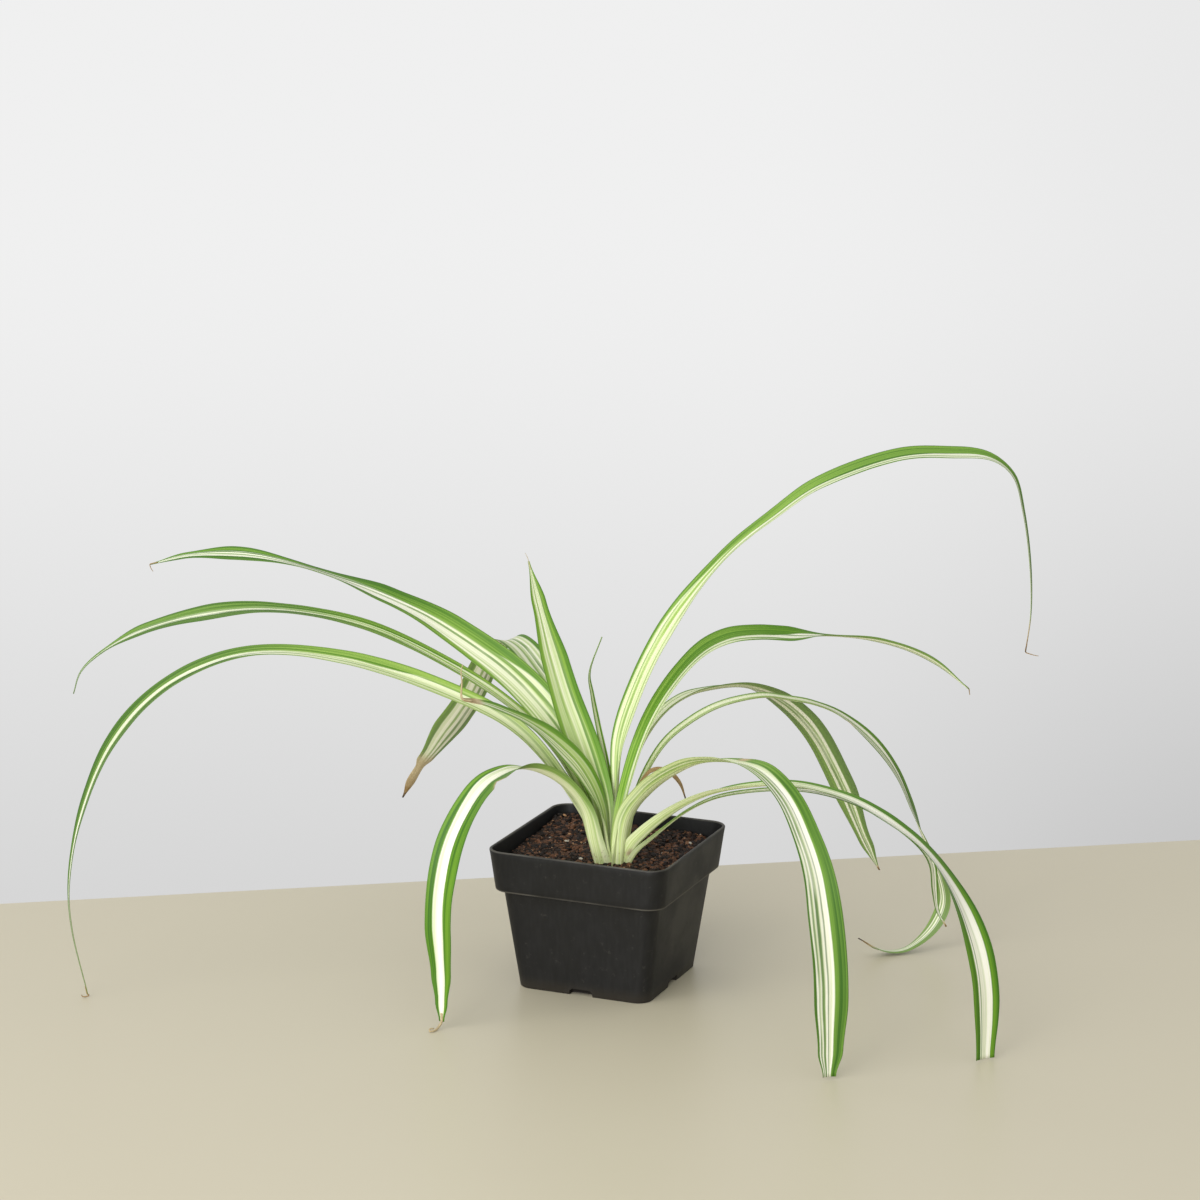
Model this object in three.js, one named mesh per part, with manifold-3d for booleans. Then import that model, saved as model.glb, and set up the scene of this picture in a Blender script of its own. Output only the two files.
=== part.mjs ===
// A spider plant in a square nursery pot: a thin black pot, a block of potting soil, a short crown with
// fleshy roots, and sixteen arching leaves. Millimetres, +Z up. The origin is the middle of the pot's foot,
// on the surface that the pot stands on, and the pot's sides lie along X and Y.
import * as THREE from "three";
import { mergeVertices } from "three/addons/utils/BufferGeometryUtils.js";
import Module from "manifold-3d";

const wasm = await Module();
wasm.setup();

// Driving dimensions
const GAP = 0.3; // clearance between pieces that touch in the real plant
const POT_WIDTH = 100; // over the rim, a four inch nursery pot
const POT_HEIGHT = 77;
const BAND_HEIGHT = 22.5; // the deep band below the rim
const BAND_FOOT_WIDTH = 95;
const BODY_TOP_WIDTH = 87.5; // the body starts stepped in under the band
const FOOT_WIDTH = 74;
const WALL = 1.6;
const RIM_CORNER = 10; // outer corner radii
const BODY_CORNER = 8;
const LIP = 0.6; // the rim's outer edge is eased by this much
const CORNER_STEPS = 4;
const SLOT = { width: 13, height: 3.6, depth: 9 }; // drain slot in the middle of each side, at the foot

const SOIL_TOP = 68; // mean height of the soil in the pot
const SOIL_RELIEF = 1.6; // height of its lumps
const SOIL_SLOPE = 0.035; // it is heaped a little towards one corner
const SOIL_RINGS = 9;
const SOIL_SIDE_STEPS = 6;

const CROWN = { x: 7, y: -12.5 }; // the plant stands a little forward of the middle
const CROWN_RADIUS = 10.5; // the stem below the soil's surface
const CROWN_TOP = 61.5;
const CROWN_FOOT = 50;
const CROWN_BEVEL = 2;
const CROWN_SIDES = 20;
const NECK_HOLE = 12.5; // radius of the opening in the soil round the leaf bases
const SHEATH_REACH = 36; // the leaf bases are grown together this far from the crown's top
const LEAF_START = 59; // the leaf bases start inside the crown

const ROOT_COUNT = 6;
const ROOT_SIDES = 6;
const ROOT_REACH = 15; // how far out a root's end lies from the crown's axis
const ROOT_END = 14; // height of a root's end
const SHORT_ROOT = { reach: 9, end: 22 }; // every second root
const ROOT_SWELLING = [1.6, 2.2, 3, 3.2, 2.6, 1.8, 1]; // radii along a root

const LEAF_THICKNESS = 0.8;
const LEAF_STEP = 12; // length of a step along a leaf
const LEAF_ACROSS = [-1, 0, 1]; // an edge, the keel and the other edge
// Height of a blade's edges over its keel as a share of half its width: [share of the length, height].
const FOLD = [[0, 1], [0.2, 0.35], [0.5, 0.22], [1, 0.15]];

const BLACK = { color: 0x1e1e1d, roughness: 0.5, metalness: 0 };
const SOIL = { color: 0x3a241a, roughness: 0.95, metalness: 0 };
const PALE = { color: 0xcfd3a0, roughness: 0.7, metalness: 0 };
const GREEN = { color: 0x7fa348, roughness: 0.45, metalness: 0 };
const DRY = { color: 0x9a6b3a, roughness: 0.8, metalness: 0 };

// Each leaf: heading in degrees round from +X, foot (where its base stands, out from the crown's axis and
// sideways to the left), and its spine from there as [out, height, sideways]. widths are the blade's widths
// along it, and roll turns the blade about its spine, both as [share of the length, value]. A positive roll
// shows the upper face to the right of the heading.
const LEAVES = {
  leaf_left_high: {
    heading: 192, foot: [3, -2],
    spine: [[8, 88, -4], [20, 120, -6.3], [39, 148, -6.8], [61, 170, -3.5], [102, 196.3], [150, 213.8],
      [190, 222.5], [225, 221.5], [248, 215.5]],
    widths: [[0, 7.5], [0.3, 18.5], [0.48, 17], [0.6, 14.5], [0.7, 11], [0.78, 7.5], [0.86, 9.5],
      [0.94, 4.5], [1, 1]],
    roll: [[0, 0], [0.15, -30], [0.3, -58], [0.42, -52], [0.6, -22], [0.72, 4], [0.84, -34], [1, -34]],
  },
  leaf_left_middle: {
    heading: 194, foot: [5, -3],
    spine: [[11, 84, -4], [28, 121, -3], [51, 146, -2], [86, 169.6], [132, 189.3], [182, 195.8],
      [222, 190.5], [253, 180.5], [275, 167.3], [285, 157], [289, 145.5]],
    widths: [[0, 5.5], [0.25, 9], [0.5, 9], [0.74, 12.5], [0.85, 8.5], [0.92, 2.8], [1, 1]],
    roll: [[0, 0], [0.12, -10], [0.5, -22], [0.63, -12], [0.76, -30], [1, -30]],
  },
  leaf_left_long: {
    heading: 208, foot: [5, -1],
    spine: [[10, 80, -1], [24, 107], [49, 139], [80, 158], [139, 179.3], [188, 183.5], [228, 168],
      [257.3, 138], [275.5, 96], [282, 60], [281, 37], [274, 2]],
    widths: [[0, 6.5], [0.2, 11], [0.35, 11.5], [0.5, 9], [0.6, 11], [0.68, 13], [0.77, 9.5], [0.84, 5],
      [0.9, 2.5], [1, 1]],
    roll: [[0, 0], [0.1, -30], [0.3, -35], [0.5, -22], [0.7, -22], [1, -15]],
  },
  leaf_front_left: {
    heading: 242, foot: [7.5, 0],
    spine: [[14, 80], [20, 100], [36, 117.5], [60, 128.5], [75, 127], [86, 121.7], [97, 110.6],
      [105, 97.6], [111.3, 77], [113.5, 55], [112, 28], [112, 4]],
    widths: [[0, 11.5], [0.18, 11.5], [0.45, 17.5], [0.6, 17.5], [0.8, 15.5], [0.9, 12], [0.96, 7.5],
      [1, 3]],
    roll: [[0, 0], [0.15, 10], [0.35, 17], [0.5, -5], [0.7, -18], [1, -22]],
  },
  leaf_back_folded: {
    heading: 148, foot: [6, -3],
    spine: [[15, 98, -3], [38, 128, -3], [57, 147, -2], [70, 157, -1], [86, 166], [98, 167], [107, 161],
      [118, 148], [136, 124], [169, 91], [187, 74], [203, 54]],
    widths: [[0, 7], [0.3, 17], [0.6, 19], [0.75, 19], [0.88, 9.5], [0.91, 5], [0.95, 5.5], [1, 1]],
    roll: [[0, 0], [0.15, -10], [1, 20]],
  },
  leaf_front_short: {
    heading: 226, foot: [4, 3],
    spine: [[7, 94, 3], [18, 118, 2], [32, 134.5, 1], [47, 147], [60, 154.5], [72, 160], [83, 163]],
    widths: [[0, 6], [0.4, 16.5], [0.6, 15], [0.85, 8.5], [0.95, 5], [1, 3]],
    roll: [[0, 0], [0.15, -30], [0.5, -48], [0.8, -20], [1, -20]],
  },
  leaf_centre_broad: {
    heading: 165, foot: [1.5, 2.5],
    spine: [[4.5, 95, 2.5], [13, 118, 3], [26, 145, 3], [37, 172, 3], [45.5, 196, 3], [53.6, 221.5, 3]],
    widths: [[0, 6], [0.44, 18.5], [0.68, 15.5], [0.87, 8.5], [1, 1]],
    roll: [[0, 0], [0.2, -25], [1, -25]],
  },
  leaf_centre_young: {
    heading: 190, foot: [0, -8],
    spine: [[2.5, 94, -9], [6.8, 118, -12.5], [11, 137, -13.2], [13, 155, -8], [13, 168, -2], [6, 188]],
    widths: [[0, 3.6], [0.3, 5.8], [0.6, 4.5], [1, 1]],
    roll: [[0, 0], [0.3, -30], [1, -10]],
  },
  leaf_right_tall: {
    heading: 22, foot: [1.5, 4],
    spine: [[2.5, 100, 5.5], [4.2, 130.4, 6], [11, 154.5, 4], [23, 182.7, 2], [38, 207.7],
      [59.3, 233.6], [82, 253], [104, 269], [145, 284.5], [170, 286], [192, 284], [203.5, 275],
      [209.5, 255.5], [214, 226], [215, 202], [213, 182]],
    widths: [[0, 5.2], [0.07, 6.2], [0.2, 12.5], [0.3, 13], [0.6, 11.5], [0.72, 10.5], [0.785, 5],
      [0.86, 3.6], [1, 1]],
    roll: [[0, 0], [0.2, 40], [0.3, 36], [0.42, 12], [0.6, 25], [1, 20]],
  },
  leaf_right_kinked: {
    heading: 35, foot: [0.5, -6],
    spine: [[3, 92, -6], [9, 118, -5], [20, 145, -2], [35, 167], [49, 180], [62, 185.5], [78, 186.5],
      [99, 184.5], [118, 183.5], [141, 180], [160, 174], [176, 165.5], [193.5, 151]],
    widths: [[0, 7.5], [0.25, 10], [0.4, 10.5], [0.52, 12.5], [0.62, 12], [0.72, 7.5], [0.88, 6.5], [1, 1]],
    roll: [[0, 0], [0.2, 20], [0.45, 25], [0.62, 28], [0.71, -12], [0.8, -30], [1, -35]],
  },
  leaf_back_right: {
    heading: 60, foot: [6, 3],
    spine: [[12, 98, 4], [22, 126, 3], [36, 142, 2], [51, 149, 1], [68, 150.5], [86, 149], [99, 145],
      [114, 137], [132, 122], [145, 106], [157, 86], [167, 67], [177, 48], [189, 28]],
    widths: [[0, 6], [0.35, 13], [0.5, 14], [0.65, 16], [0.8, 15.5], [0.93, 8.5], [1, 1]],
    roll: [[0, 0], [0.15, -37], [0.35, -15], [0.48, -17], [0.6, -28], [1, -25]],
  },
  leaf_right_looped: {
    heading: 41, foot: [6, -2],
    spine: [[11, 94, -2], [19, 115, -1], [30, 130], [44, 140], [57, 146], [70, 149], [85, 150],
      [98, 147.5], [112, 144], [127, 137], [147, 120], [160, 103], [170, 82], [180, 58], [188, 40],
      [190, 26], [183, 12], [169, 2.5], [155, 3], [141, 11]],
    widths: [[0, 4.5], [0.35, 9.5], [0.6, 9], [0.68, 8], [0.8, 9.5], [0.95, 6.5], [1, 1]],
    roll: [[0, 0], [0.35, 0], [0.44, 5], [0.56, 40], [0.66, 36], [0.76, -5], [0.85, -30], [0.92, 0],
      [1, 20]],
  },
  leaf_right_low: {
    heading: -9, foot: [8, 0],
    spine: [[12, 75], [20, 85], [38, 101], [56, 112], [75, 119], [104, 125], [123, 125], [142, 122],
      [165, 113], [183, 102], [198, 85], [209.5, 64], [215.4, 43], [217.4, 20], [217.4, 1]],
    widths: [[0, 8.5], [0.3, 10], [0.8, 16.5], [0.9, 16], [1, 11]],
    roll: [[0, 0], [0.08, -25], [0.35, 0], [0.55, -5], [0.66, -15], [0.85, 25], [1, 30]],
  },
  leaf_right_thin: {
    heading: -9, foot: [7, -1],
    spine: [[14, 74, 1], [24, 84, 2], [40, 98.5, 4], [57, 109, 5], [76, 115.5, 5.5], [104, 121, 6],
      [124, 121.5, 6], [143, 118.5, 6], [161, 112, 6], [178, 102, 5], [183, 95, 5], [185, 81, 5],
      [187, 71, 5], [192, 64, 5]],
    widths: [[0, 4], [0.3, 5], [0.9, 5], [1, 1]],
    roll: [[0, 0], [0.3, 10], [1, 15]],
  },
  leaf_front_right: {
    heading: -30, foot: [8, -1],
    spine: [[13, 93, -1], [26, 110], [46, 124.5], [71, 137], [99, 143.5], [120, 143.5], [140, 134],
      [154, 118], [163, 102], [170, 78], [173.5, 55], [176, 28, -1], [177, 1.5, -2]],
    widths: [[0, 8.5], [0.3, 13], [0.5, 14.5], [0.62, 14.5], [0.76, 18], [0.88, 17.5], [0.96, 13.5],
      [1, 7]],
    roll: [[0, 0], [0.12, -22], [0.3, -16], [0.38, -12], [0.5, 2], [0.7, 20], [1, 20]],
  },
  leaf_dried: {
    heading: 18, foot: [7, -2], dry: true,
    spine: [[11, 98, -3.3], [15, 111, -5], [21, 119, -6], [28, 119, -5], [35, 113, -5], [39, 103, -5]],
    widths: [[0, 2], [0.5, 4.8], [0.85, 4], [1, 1]],
    roll: [[0, 0], [1, 20]],
  },
};

// A three.js geometry with one closed surface, as a solid that can be joined and cut.
function solid(geometry) {
  const bare = geometry.clone();
  bare.deleteAttribute("normal");
  bare.deleteAttribute("uv");
  const merged = mergeVertices(bare, 1e-4);
  return new wasm.Manifold(
    new wasm.Mesh({
      numProp: 3,
      vertProperties: new Float32Array(merged.attributes.position.array),
      triVerts: new Uint32Array(merged.index.array),
    }),
  );
}

// The body of a solid that is left when hollows that joining sealed are filled and loose scraps dropped.
function largest(made) {
  return made.decompose().reduce((a, b) => (b.volume() > a.volume() ? b : a));
}

function geometryOf(made) {
  const { vertProperties, triVerts } = made.getMesh();
  const geometry = new THREE.BufferGeometry();
  geometry.setAttribute("position", new THREE.BufferAttribute(vertProperties, 3));
  geometry.setIndex(new THREE.BufferAttribute(triVerts, 1));
  geometry.computeVertexNormals();
  return geometry;
}

function mesh(name, geometry, finish) {
  const made = new THREE.Mesh(geometry, new THREE.MeshStandardMaterial(finish));
  made.name = name;
  return made;
}

// Rings of equally many points, joined side by side and closed with a flat fan at both ends.
function loft(rings) {
  const count = rings[0].length;
  const points = rings.flat();
  const faces = [];
  for (let r = 0; r + 1 < rings.length; r++) {
    for (let i = 0; i < count; i++) {
      const a = r * count + i;
      const b = r * count + ((i + 1) % count);
      faces.push(a, b, b + count, a, b + count, a + count);
    }
  }
  const last = (rings.length - 1) * count;
  for (let i = 1; i + 1 < count; i++) {
    faces.push(0, i + 1, i);
    faces.push(last, last + i, last + i + 1);
  }
  const geometry = new THREE.BufferGeometry().setFromPoints(points);
  geometry.setIndex(faces);
  return geometry;
}

// A square with round corners, counter-clockwise, at height z. Each straight side may be split into
// sideSteps, so that a surface between two such rings can be uneven.
function roundedSquare(width, radius, z, sideSteps = 1) {
  const inset = width / 2 - radius;
  const quarter = [];
  for (let i = 0; i <= CORNER_STEPS; i++) {
    const angle = ((i / CORNER_STEPS) * Math.PI) / 2;
    quarter.push([inset + radius * Math.cos(angle), inset + radius * Math.sin(angle)]);
  }
  for (let i = 1; i < sideSteps; i++) quarter.push([inset - (2 * inset * i) / sideSteps, width / 2]);
  const points = [];
  for (let corner = 0; corner < 4; corner++) {
    const turn = new THREE.Vector3(0, 0, 1);
    for (const [x, y] of quarter) {
      points.push(new THREE.Vector3(x, y, z).applyAxisAngle(turn, (corner * Math.PI) / 2));
    }
  }
  return points;
}

const BAND_FOOT = POT_HEIGHT - BAND_HEIGHT;

// The pot's width and corner radius at a height, on the outside.
function potWidth(z) {
  if (z < BAND_FOOT) return THREE.MathUtils.mapLinear(z, 0, BAND_FOOT, FOOT_WIDTH, BODY_TOP_WIDTH);
  return THREE.MathUtils.mapLinear(z, BAND_FOOT, POT_HEIGHT, BAND_FOOT_WIDTH, POT_WIDTH);
}

function pot() {
  const outside = [
    roundedSquare(FOOT_WIDTH - 2 * LIP, BODY_CORNER - LIP, 0),
    roundedSquare(potWidth(LIP), BODY_CORNER, LIP),
    roundedSquare(BODY_TOP_WIDTH, BODY_CORNER, BAND_FOOT),
    roundedSquare(BAND_FOOT_WIDTH, RIM_CORNER, BAND_FOOT),
    roundedSquare(potWidth(POT_HEIGHT - LIP), RIM_CORNER, POT_HEIGHT - LIP),
    roundedSquare(POT_WIDTH - 2 * LIP, RIM_CORNER - LIP, POT_HEIGHT),
  ];
  const shelf = BAND_FOOT + WALL;
  const inside = [
    roundedSquare(potWidth(WALL) - 2 * WALL, BODY_CORNER - WALL, WALL),
    roundedSquare(BODY_TOP_WIDTH - 2 * WALL, BODY_CORNER - WALL, shelf),
    roundedSquare(potWidth(shelf) - 2 * WALL, RIM_CORNER - WALL, shelf),
    roundedSquare(POT_WIDTH - 2 * WALL, RIM_CORNER - WALL, POT_HEIGHT + 1),
  ];
  let made = solid(loft(outside)).subtract(solid(loft(inside)));
  for (let side = 0; side < 4; side++) {
    const slot = new THREE.BoxGeometry(SLOT.width, SLOT.depth, 2 * SLOT.height);
    slot.translate(0, FOOT_WIDTH / 2, 0);
    slot.rotateZ((side * Math.PI) / 2);
    made = made.subtract(solid(slot));
  }
  return mesh("pot", geometryOf(made), BLACK);
}

// Height of the soil's lumps: a few crossed waves.
function lumps(x, y) {
  const wave = (a, b, shift) => Math.sin(a * x + b * y + shift);
  const sum = wave(0.31, 0.12, 0.4) + wave(-0.17, 0.36, 1.9) + wave(0.52, -0.43, 3.1) + wave(0.23, 0.61, 5.2);
  return (SOIL_RELIEF * sum) / 4;
}

// The crown's short stem with its roots, grown by extra all round.
function crownSolid(extra) {
  const radius = CROWN_RADIUS + extra;
  const top = CROWN_TOP + extra;
  const profile = [
    [0, CROWN_FOOT - extra],
    [radius - CROWN_BEVEL, CROWN_FOOT - extra],
    [radius, CROWN_FOOT - extra + CROWN_BEVEL],
    [radius, top - CROWN_BEVEL],
    [radius - CROWN_BEVEL, top],
    [0, top],
  ].map(([r, z]) => new THREE.Vector2(r, z));
  const stem = new THREE.LatheGeometry(profile, CROWN_SIDES);
  stem.rotateX(Math.PI / 2);
  let made = solid(stem);
  for (let i = 0; i < ROOT_COUNT; i++) {
    made = made.add(root((i / ROOT_COUNT) * 2 * Math.PI, i % 2 === 1, extra));
  }
  return made.translate(CROWN.x, CROWN.y, 0);
}

// One fleshy root: it leaves the stem, swells, and narrows to its end.
function root(heading, isShort, extra) {
  const { reach, end } = isShort ? SHORT_ROOT : { reach: ROOT_REACH, end: ROOT_END };
  const path = new THREE.QuadraticBezierCurve3(
    new THREE.Vector3(CROWN_RADIUS / 2, 0, CROWN_FOOT + 2 * CROWN_BEVEL),
    new THREE.Vector3(ROOT_REACH, 0, CROWN_FOOT - 2 * CROWN_BEVEL),
    new THREE.Vector3(reach, 0, end - extra),
  );
  const rings = ROOT_SWELLING.map((radius, i) => {
    const t = i / (ROOT_SWELLING.length - 1);
    const centre = path.getPoint(t);
    const along = path.getTangent(t);
    const side = new THREE.Vector3(0, 1, 0);
    const up = new THREE.Vector3().crossVectors(along, side);
    return Array.from({ length: ROOT_SIDES }, (_, k) => {
      const angle = (k / ROOT_SIDES) * 2 * Math.PI;
      return centre
        .clone()
        .addScaledVector(side, (radius + extra) * Math.cos(angle))
        .addScaledVector(up, (radius + extra) * Math.sin(angle));
    });
  });
  return solid(loft(rings).rotateZ(heading));
}

function soil() {
  const inset = WALL + GAP;
  const shelf = BAND_FOOT + WALL + GAP;
  const topWidth = potWidth(SOIL_TOP - SOIL_RELIEF - SOIL_SLOPE * POT_WIDTH) - 2 * inset;
  const rings = [
    roundedSquare(potWidth(inset) - 2 * inset, BODY_CORNER - inset, inset, SOIL_SIDE_STEPS),
    roundedSquare(BODY_TOP_WIDTH - 2 * inset, BODY_CORNER - inset, shelf, SOIL_SIDE_STEPS),
    roundedSquare(potWidth(shelf) - 2 * inset, RIM_CORNER - inset, shelf, SOIL_SIDE_STEPS),
  ];
  for (let i = 0; i < SOIL_RINGS; i++) {
    const share = 1 - i / SOIL_RINGS;
    const ring = roundedSquare(topWidth * share, (RIM_CORNER - inset) * share, SOIL_TOP, SOIL_SIDE_STEPS);
    ring.forEach((p) => (p.z += SOIL_SLOPE * (p.y - p.x) + (i === 0 ? -SOIL_RELIEF : lumps(p.x, p.y))));
    rings.push(ring);
  }
  const hole = new THREE.CylinderGeometry(NECK_HOLE, NECK_HOLE, POT_HEIGHT, CROWN_SIDES);
  hole.rotateX(Math.PI / 2);
  hole.translate(CROWN.x, CROWN.y, CROWN_TOP - CROWN_BEVEL + POT_HEIGHT / 2);
  const made = solid(loft(rings)).subtract(crownSolid(GAP)).subtract(solid(hole));
  return mesh("soil", geometryOf(made), SOIL);
}

// A value from a list of [share, value], eased between its entries.
function along(list, t) {
  if (t <= list[0][0]) return list[0][1];
  for (let i = 1; i < list.length; i++) {
    const [from, start] = list[i - 1];
    const [to, end] = list[i];
    if (t <= to) return start + (end - start) * THREE.MathUtils.smoothstep(t, from, to);
  }
  return list.at(-1)[1];
}

// A leaf as one closed blade, folded along its keel. Its rows of points follow the spine, the upper face's
// first and then the lower face's, and both faces are split into the same triangles.
function blade(leaf) {
  const heading = THREE.MathUtils.degToRad(leaf.heading);
  const out = new THREE.Vector3(Math.cos(heading), Math.sin(heading), 0);
  const left = new THREE.Vector3(-Math.sin(heading), Math.cos(heading), 0);
  const axis = new THREE.Vector3(CROWN.x, CROWN.y, 0);
  const foot = [leaf.foot[0], LEAF_START, leaf.foot[1]];
  const stops = [foot, ...leaf.spine].map(([reach, height, aside = 0]) =>
    axis.clone().addScaledVector(out, reach).addScaledVector(left, aside).setZ(height),
  );
  const spine = new THREE.CatmullRomCurve3(stops, false, "centripetal");
  const rows = Math.round(spine.getLength() / LEAF_STEP);
  const upper = [];
  const lower = [];
  for (let row = 0; row <= rows; row++) {
    const t = row / rows;
    const centre = spine.getPointAt(t);
    const forward = spine.getTangentAt(t);
    const side = left.clone().addScaledVector(forward, -left.dot(forward)).normalize();
    side.applyAxisAngle(forward, THREE.MathUtils.degToRad(along(leaf.roll, t)));
    const face = new THREE.Vector3().crossVectors(forward, side);
    const half = along(leaf.widths, t) / 2;
    const fold = along(FOLD, t);
    for (const u of LEAF_ACROSS) {
      const point = centre.clone().addScaledVector(side, half * u);
      point.addScaledVector(face, half * fold * Math.abs(u));
      upper.push(point);
      lower.push(point.clone().addScaledVector(face, -LEAF_THICKNESS * Math.hypot(1, fold)));
    }
  }
  const across = LEAF_ACROSS.length;
  const below = upper.length;
  const faces = [];
  const quad = (a, b, c, d) => faces.push(a, b, c, a, c, d);
  for (let row = 0; row < rows; row++) {
    const here = row * across;
    const next = here + across;
    for (let i = 0; i + 1 < across; i++) {
      quad(here + i, next + i, next + i + 1, here + i + 1);
      faces.push(below + here + i, below + next + i + 1, below + next + i);
      faces.push(below + here + i, below + here + i + 1, below + next + i + 1);
    }
    quad(here, below + here, below + next, next);
    quad(here + across - 1, next + across - 1, below + next + across - 1, below + here + across - 1);
  }
  const end = rows * across;
  for (let i = 0; i + 1 < across; i++) {
    quad(i, i + 1, below + i + 1, below + i);
    quad(end + i, below + end + i, below + end + i + 1, end + i + 1);
  }
  const geometry = new THREE.BufferGeometry().setFromPoints([...upper, ...lower]);
  geometry.setIndex(faces);
  return solid(geometry);
}

// The ball round the crown's top inside which the leaf bases are grown together.
function neck(extra) {
  const ball = new THREE.IcosahedronGeometry(SHEATH_REACH + 1.2 * extra, 1);
  ball.translate(CROWN.x, CROWN.y, CROWN_TOP);
  return solid(ball);
}

const plant = new THREE.Group();
plant.add(pot(), soil());
let crown = crownSolid(0);
for (const [name, leaf] of Object.entries(LEAVES)) {
  const whole = blade(leaf);
  crown = crown.add(whole.intersect(neck(0)));
  const free = largest(whole.subtract(neck(GAP)));
  plant.add(mesh(name, geometryOf(free), leaf.dry ? DRY : GREEN));
}
plant.add(mesh("crown", geometryOf(largest(crown)), PALE));

export default plant;
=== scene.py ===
import math
import random

import bmesh
import bpy
import numpy as np
from mathutils import Matrix, Vector, noise


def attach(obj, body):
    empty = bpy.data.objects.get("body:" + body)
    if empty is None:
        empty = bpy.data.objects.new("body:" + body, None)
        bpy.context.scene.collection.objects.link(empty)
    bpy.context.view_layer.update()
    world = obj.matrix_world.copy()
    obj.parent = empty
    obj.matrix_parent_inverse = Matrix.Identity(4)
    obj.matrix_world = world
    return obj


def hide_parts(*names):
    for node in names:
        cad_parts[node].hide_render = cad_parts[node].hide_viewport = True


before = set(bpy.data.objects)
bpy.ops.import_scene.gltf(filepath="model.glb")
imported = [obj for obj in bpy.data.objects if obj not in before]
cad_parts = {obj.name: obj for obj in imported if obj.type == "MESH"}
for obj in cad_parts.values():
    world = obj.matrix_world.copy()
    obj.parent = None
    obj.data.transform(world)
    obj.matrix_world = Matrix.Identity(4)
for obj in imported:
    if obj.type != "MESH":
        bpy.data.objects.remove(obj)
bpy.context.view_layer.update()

# A spider plant in a square nursery pot. Metres, +Z up. The origin is the middle of the pot's foot, and the
# pot's sides lie along X and Y. Sizes in the tables are millimetres and are turned into metres by MM.
MM = 0.001
ROOT = "root"

# Camera: where it stands and where it looks, worked out from the pot's rim, foot and corners
CAMERA_AT = (0.6935, -1.7058, 0.6301)
CAMERA_YAW = math.radians(22.29)
CAMERA_PITCH = math.radians(-13.01)
CAMERA_ROLL = math.radians(0.37)
CAMERA_LENS = 109.2
CAMERA_SENSOR = 36.0

# Lights: name, place, aim, width, power and colour
LIGHTS = (
    ("key", (-0.9, -2.2, 2.0), (0, 0, 0.1), 2.4, 36, (1.0, 0.99, 0.97)),
    ("fill", (0.25, -2.1, 0.4), (0, 0, 0.12), 1.4, 33, (1.0, 1.0, 0.99)),
)

# Table top: its far edge runs through these two points
TABLE_EDGE = ((-0.3605, -0.0222), (0.2322, 0.3723))
TABLE_THICKNESS = 0.03
TABLE_REACH = 2.6

# Surroundings: the wall's brightness between two heights of a line of sight, in front and further right,
# and the room's brightness on the camera's side and on the wall's side
WALL_HEIGHTS = (-0.36, -0.12)
WALL_LEVELS = (0.64, 0.87)
WALL_RIGHT_LEVELS = (0.49, 0.81)
ROOM_LEVELS = (0.68, 0.74)

# Pot, as in the frame
POT_WIDTH = 100 * MM
POT_HEIGHT = 77 * MM
BAND_HEIGHT = 22.5 * MM
BAND_FOOT_WIDTH = 95 * MM
BODY_TOP_WIDTH = 87.5 * MM
FOOT_WIDTH = 74 * MM
WALL = 1.6 * MM
RIM_CORNER = 10 * MM
BODY_CORNER = 8 * MM
EASE = 0.5 * MM
BAND_FOOT = POT_HEIGHT - BAND_HEIGHT
SLOT = {"width": 13 * MM, "height": 3.6 * MM, "depth": 9 * MM}
CORNER_STEPS = 12
SIDE_STEPS = 10

# Soil
SOIL_TOP = 68 * MM
SOIL_RELIEF = 1.6 * MM
SOIL_SLOPE = 0.035
SOIL_RINGS = 44
SOIL_MOUND = 1.2 * MM
SOIL_MOUND_REACH = 22 * MM

# Loose pieces on the soil: name, number, sizes in millimetres and stretch as random ranges, share sunk in,
# dark and light colour, and how fine the grain of the colour is
LOOSE_PIECES = (
    ("soil_crumbs", 5600, (0.5, 1.7), (0.6, 1.6), 0.3, (24, 15, 10), (116, 78, 54), 330.0),
    ("soil_clods", 170, (1.0, 1.9), (0.7, 1.3), 0.4, (24, 15, 10), (76, 50, 36), 300.0),
    ("bark_chips", 640, (0.35, 1.05), (0.4, 2.3), 0.2, (84, 50, 32), (206, 160, 120), 260.0),
    ("perlite", 26, (0.7, 1.5), (0.8, 1.2), 0.2, (196, 188, 172), (238, 234, 224), 500.0),
)
STONE_KINDS = 12
STONE_ROUGHNESS = 0.28
FLATNESS = (0.45, 0.9)
BED_CORNER = 7 * MM
CROWN_CLEARANCE = 7.5 * MM
RANDOM_SEED = 11

# Crown, in millimetres
CROWN = (7, -12.5)
CROWN_RADIUS = 9
CROWN_SIDES = 28
ROOTS = 6
CROWN_FOOT = 50
CROWN_TOP = 66
LEAF_START = 59

# Leaf blades
ROW_STEP = 2.2
COLUMNS = (-1, -0.95, -0.8, -0.6, -0.4, -0.2, -0.07, 0, 0.07, 0.2, 0.4, 0.6, 0.8, 0.95, 1)
FOLD = [[0, 1], [0.2, 0.35], [0.5, 0.22], [1, 0.15]]
ROUNDNESS = [[0, 1.9], [0.25, 1.5], [1, 1.25]]
EDGE_THICKNESS = 0.16
THICKNESS = [[0, 0.8], [0.25, 0.55], [1, 0.4]]
WAVE = 0.035
SPINE_POINTS = 600
HAIR_POINTS = 30
SCAR_WIDTH = 0.3
NICK_BROWN = 0.4
HAIR_DRYNESS = 1.45

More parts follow.
